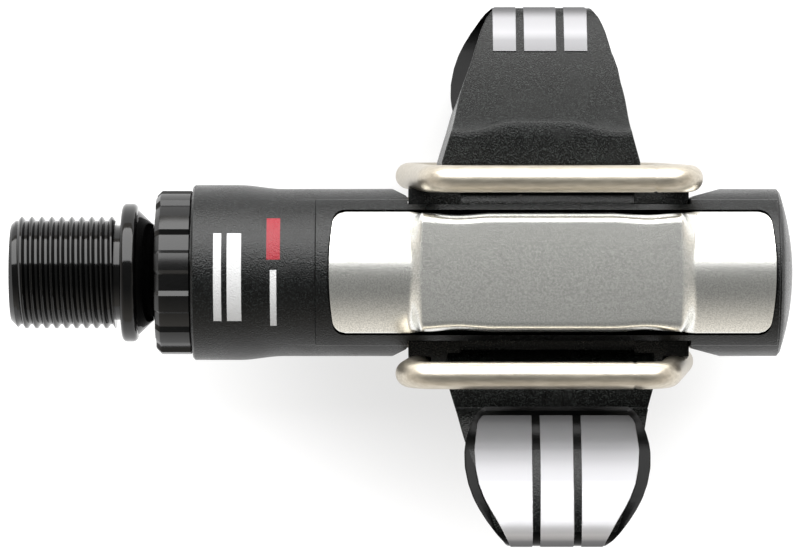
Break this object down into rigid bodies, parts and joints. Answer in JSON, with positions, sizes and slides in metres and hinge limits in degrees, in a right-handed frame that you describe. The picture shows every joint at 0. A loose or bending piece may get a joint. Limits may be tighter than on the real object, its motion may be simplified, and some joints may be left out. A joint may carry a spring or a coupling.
{
  "type": "clipless bicycle pedal",
  "caption": "Two-sided clipless bicycle pedal: black body on a threaded spindle, steel wear plates, and sprung arms carrying closed wire bails.",
  "frame": {"origin": "on the spindle's axis, at the crank face of its flange", "axes": "+X along the spindle, away from the crank; +Y towards the front of the bicycle; +Z out of the upper side"},
  "size_m": [0.0993, 0.0686, 0.0314],
  "materials": {
    "spindle_steel": "gloss black oxide over ground steel",
    "lock_ring_black": "satin black anodised",
    "body_plastic": "fine grained matte black glass-filled nylon",
    "arm_plastic": "satin black glass-filled nylon",
    "wear_steel": "bead blasted stainless steel",
    "wire_steel": "matt nickel finish",
    "badge_metal": "satin silver",
    "bearing_steel": "ground and polished",
    "cage_nylon": "natural nylon",
    "seal_rubber": "matt nitrile",
    "spring_steel": "oil tempered wire",
    "pin_steel": "ground pin"
  },
  "bodies": {
    "spindle_set": {"spindle": "spindle_steel", "spindle_circlip": "spring_steel", "bearing_inner_ring": "bearing_steel"},
    "pedal": {"pedal_body": "body_plastic", "lock_ring": "lock_ring_black", "lip_seal": "seal_rubber", "bearing_outer_ring": "bearing_steel", "bearing_shields": "seal_rubber", "needle_cup": "bearing_steel", "wear_plate_upper": "wear_steel", "wear_plate_lower": "wear_steel", "front_pivot_pin": "pin_steel", "rear_pivot_pin": "pin_steel", "front_spring": "spring_steel", "rear_spring": "spring_steel"},
    "ball_set": {"bearing_balls": "bearing_steel", "bearing_cage": "cage_nylon"},
    "needle_set": {"needle_rollers": "bearing_steel"},
    "front_jaw": {"front_arm": "arm_plastic", "front_bail": "wire_steel", "front_badges": "badge_metal"},
    "rear_jaw": {"rear_arm": "arm_plastic", "rear_bail": "wire_steel", "rear_badges": "badge_metal"}
  },
  "joints": [
    {"name": "pedal_spin", "type": "hinge", "parent": "spindle_set", "child": "pedal", "pos_m": [0.016, 0, 0], "axis": [1, 0, 0], "continuous": true},
    {"name": "ball_orbit", "type": "hinge", "parent": "spindle_set", "child": "ball_set", "pos_m": [0.016, 0, 0], "axis": [1, 0, 0], "continuous": true},
    {"name": "needle_orbit", "type": "hinge", "parent": "spindle_set", "child": "needle_set", "pos_m": [0.076, 0, 0], "axis": [1, 0, 0], "continuous": true},
    {"name": "front_jaw_pivot", "type": "hinge", "parent": "pedal", "child": "front_jaw", "pos_m": [0.054, 0.0086, 0], "axis": [1, 0, 0], "range_deg": [0, 10], "stiffness_Nm_per_rad": 0.9, "springref_deg": -17.19},
    {"name": "rear_jaw_pivot", "type": "hinge", "parent": "pedal", "child": "rear_jaw", "pos_m": [0.054, -0.0086, 0], "axis": [1, 0, 0], "range_deg": [0, 10], "stiffness_Nm_per_rad": 0.9, "springref_deg": -17.19}
  ],
  "couplings": [
    {"joint": "ball_orbit", "follows": "pedal_spin", "ratio": 0.5893},
    {"joint": "needle_orbit", "follows": "pedal_spin", "ratio": 0.5974}
  ]
}
